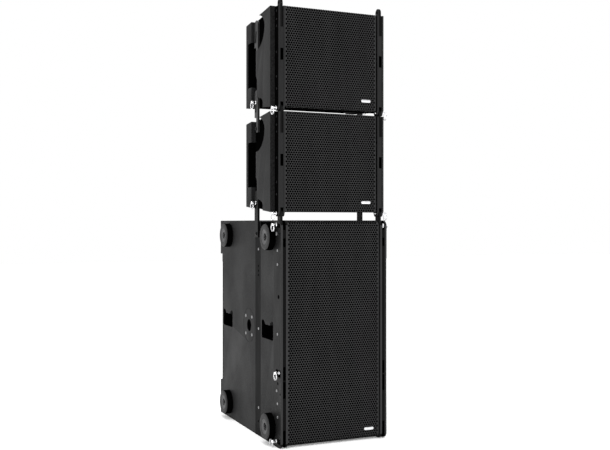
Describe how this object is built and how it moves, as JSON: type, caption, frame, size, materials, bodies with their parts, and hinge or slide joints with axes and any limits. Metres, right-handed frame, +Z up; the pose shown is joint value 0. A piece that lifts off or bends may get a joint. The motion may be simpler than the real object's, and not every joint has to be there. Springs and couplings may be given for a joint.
{
  "type": "line array speaker",
  "caption": "Ground-stacked line array: tall ported subwoofer with wedge-shaped modules hinged above it on steel front rails, rear splay arms and quick-release pins.",
  "frame": {"origin": "middle of the underside of the subwoofer's cabinet, halfway between its sides and 290 mm behind its front rails", "axes": "+Z up the stack, -Y out of the front grilles, +X towards the right-hand rails as seen by someone facing the front"},
  "size_m": [0.4091, 0.581, 1.3615],
  "materials": {
    "paint": "black textured structure paint on plywood",
    "steel_black": "satin black powder coat",
    "grille_black": "black powder-coated perforated steel",
    "chrome": "polished nickel-chrome plate",
    "rubber": "matt black rubber",
    "paper_cone": "matt black treated paper with a rubber roll",
    "cast_frame": "black coated casting with a magnet",
    "moulding": "matt black moulding"
  },
  "bodies": {
    "subwoofer": {"sub_cabinet": "paint", "sub_woofer_upper": "cast_frame", "sub_woofer_lower": "cast_frame", "sub_grille": "grille_black", "sub_rail_left": "steel_black", "sub_rail_right": "steel_black", "sub_rear_track_left": "steel_black", "sub_rear_track_right": "steel_black", "sub_amplifier": "steel_black", "sub_pole_socket": "steel_black", "sub_foot_front_bottom": "rubber", "sub_foot_front_top": "rubber", "sub_foot_rear_bottom": "rubber", "sub_foot_rear_top": "rubber", "sub_front_link_left": "steel_black", "sub_front_link_right": "steel_black", "sub_rear_arm_left": "steel_black", "sub_rear_arm_right": "steel_black"},
    "sub_bottom_pin_left": {"sub_bottom_pin_left": "chrome"},
    "sub_middle_pin_left": {"sub_middle_pin_left": "chrome"},
    "sub_top_pin_left": {"sub_top_pin_left": "chrome"},
    "sub_bottom_pin_right": {"sub_bottom_pin_right": "chrome"},
    "sub_middle_pin_right": {"sub_middle_pin_right": "chrome"},
    "sub_top_pin_right": {"sub_top_pin_right": "chrome"},
    "sub_cone_upper": {"sub_cone_upper": "paper_cone"},
    "sub_cone_lower": {"sub_cone_lower": "paper_cone"},
    "level_knob": {"sub_level_knob": "moulding"},
    "power_switch": {"sub_power_switch": "moulding"},
    "lower_module": {"lower_cabinet": "paint", "lower_waveguide": "moulding", "lower_woofer": "cast_frame", "lower_grille": "grille_black", "lower_input_plate": "moulding", "lower_rail_left": "steel_black", "lower_rail_right": "steel_black", "lower_front_link_left": "steel_black", "lower_front_link_right": "steel_black", "lower_rear_arm_left": "steel_black", "lower_rear_arm_right": "steel_black"},
    "lower_cone": {"lower_cone": "paper_cone"},
    "lower_front_pin_left": {"lower_front_pin_left": "chrome"},
    "lower_rear_pin_left": {"lower_rear_pin_left": "chrome"},
    "lower_front_pin_right": {"lower_front_pin_right": "chrome"},
    "lower_rear_pin_right": {"lower_rear_pin_right": "chrome"},
    "upper_module": {"upper_cabinet": "paint", "upper_waveguide": "moulding", "upper_woofer": "cast_frame", "upper_grille": "grille_black", "upper_input_plate": "moulding", "upper_rail_left": "steel_black", "upper_rail_right": "steel_black"},
    "upper_cone": {"upper_cone": "paper_cone"},
    "upper_front_pin_left": {"upper_front_pin_left": "chrome"},
    "upper_rear_pin_left": {"upper_rear_pin_left": "chrome"},
    "upper_front_pin_right": {"upper_front_pin_right": "chrome"},
    "upper_rear_pin_right": {"upper_rear_pin_right": "chrome"},
    "upper_front_link_left": {"upper_front_link_left": "steel_black"},
    "upper_rear_arm_left": {"upper_rear_arm_left": "steel_black"},
    "upper_front_link_right": {"upper_front_link_right": "steel_black"},
    "upper_rear_arm_right": {"upper_rear_arm_right": "steel_black"}
  },
  "joints": [
    {"name": "sub_bottom_pin_left_pull", "type": "slide", "parent": "subwoofer", "child": "sub_bottom_pin_left", "axis": [-1, 0, 0], "range_m": [0, 0.02]},
    {"name": "sub_middle_pin_left_pull", "type": "slide", "parent": "subwoofer", "child": "sub_middle_pin_left", "axis": [-1, 0, 0], "range_m": [0, 0.02]},
    {"name": "sub_top_pin_left_pull", "type": "slide", "parent": "subwoofer", "child": "sub_top_pin_left", "axis": [-1, 0, 0], "range_m": [0, 0.02]},
    {"name": "sub_bottom_pin_right_pull", "type": "slide", "parent": "subwoofer", "child": "sub_bottom_pin_right", "axis": [1, 0, 0], "range_m": [0, 0.02]},
    {"name": "sub_middle_pin_right_pull", "type": "slide", "parent": "subwoofer", "child": "sub_middle_pin_right", "axis": [1, 0, 0], "range_m": [0, 0.02]},
    {"name": "sub_top_pin_right_pull", "type": "slide", "parent": "subwoofer", "child": "sub_top_pin_right", "axis": [1, 0, 0], "range_m": [0, 0.02]},
    {"name": "sub_cone_upper_stroke", "type": "slide", "parent": "subwoofer", "child": "sub_cone_upper", "axis": [0, -1, 0], "range_m": [-0.006, 0.006], "stiffness_N_per_m": 2500},
    {"name": "sub_cone_lower_stroke", "type": "slide", "parent": "subwoofer", "child": "sub_cone_lower", "axis": [0, -1, 0], "range_m": [-0.006, 0.006], "stiffness_N_per_m": 2500},
    {"name": "level_knob_turn", "type": "hinge", "parent": "subwoofer", "child": "level_knob", "pos_m": [-0.06, 0.2756, 0.48], "axis": [0, -1, 0], "range_deg": [-135, 135]},
    {"name": "power_switch_rock", "type": "hinge", "parent": "subwoofer", "child": "power_switch", "pos_m": [0.075, 0.2753, 0.19], "axis": [1, 0, 0], "range_deg": [0, 20]},
    {"name": "lower_module_splay", "type": "hinge", "parent": "subwoofer", "child": "lower_module", "pos_m": [0, -0.255, 0.7085], "axis": [-1, 0, 0], "range_deg": [0, 5]},
    {"name": "lower_cone_stroke", "type": "slide", "parent": "lower_module", "child": "lower_cone", "axis": [0, -1, 0], "range_m": [-0.004, 0.004], "stiffness_N_per_m": 2000},
    {"name": "lower_front_pin_left_pull", "type": "slide", "parent": "lower_module", "child": "lower_front_pin_left", "axis": [-1, 0, 0], "range_m": [0, 0.025]},
    {"name": "lower_rear_pin_left_pull", "type": "slide", "parent": "lower_module", "child": "lower_rear_pin_left", "axis": [-1, 0, 0], "range_m": [0, 0.023]},
    {"name": "lower_front_pin_right_pull", "type": "slide", "parent": "lower_module", "child": "lower_front_pin_right", "axis": [1, 0, 0], "range_m": [0, 0.025]},
    {"name": "lower_rear_pin_right_pull", "type": "slide", "parent": "lower_module", "child": "lower_rear_pin_right", "axis": [1, 0, 0], "range_m": [0, 0.023]},
    {"name": "upper_module_splay", "type": "hinge", "parent": "lower_module", "child": "upper_module", "pos_m": [0, -0.255, 1.029], "axis": [-1, 0, 0], "range_deg": [0, 10]},
    {"name": "upper_cone_stroke", "type": "slide", "parent": "upper_module", "child": "upper_cone", "axis": [0, -1, 0], "range_m": [-0.004, 0.004], "stiffness_N_per_m": 2000},
    {"name": "upper_front_pin_left_pull", "type": "slide", "parent": "upper_module", "child": "upper_front_pin_left", "axis": [-1, 0, 0], "range_m": [0, 0.025]},
    {"name": "upper_rear_pin_left_pull", "type": "slide", "parent": "upper_module", "child": "upper_rear_pin_left", "axis": [-1, 0, 0], "range_m": [0, 0.023]},
    {"name": "upper_front_pin_right_pull", "type": "slide", "parent": "upper_module", "child": "upper_front_pin_right", "axis": [1, 0, 0], "range_m": [0, 0.025]},
    {"name": "upper_rear_pin_right_pull", "type": "slide", "parent": "upper_module", "child": "upper_rear_pin_right", "axis": [1, 0, 0], "range_m": [0, 0.023]},
    {"name": "upper_front_link_left_drop", "type": "slide", "parent": "upper_module", "child": "upper_front_link_left", "axis": [0, 0, -1], "range_m": [0, 0.03]},
    {"name": "upper_rear_arm_left_lift", "type": "slide", "parent": "upper_module", "child": "upper_rear_arm_left", "axis": [0, 0, 1], "range_m": [0, 0.095]},
    {"name": "upper_front_link_right_drop", "type": "slide", "parent": "upper_module", "child": "upper_front_link_right", "axis": [0, 0, -1], "range_m": [0, 0.03]},
    {"name": "upper_rear_arm_right_lift", "type": "slide", "parent": "upper_module", "child": "upper_rear_arm_right", "axis": [0, 0, 1], "range_m": [0, 0.095]}
  ]
}
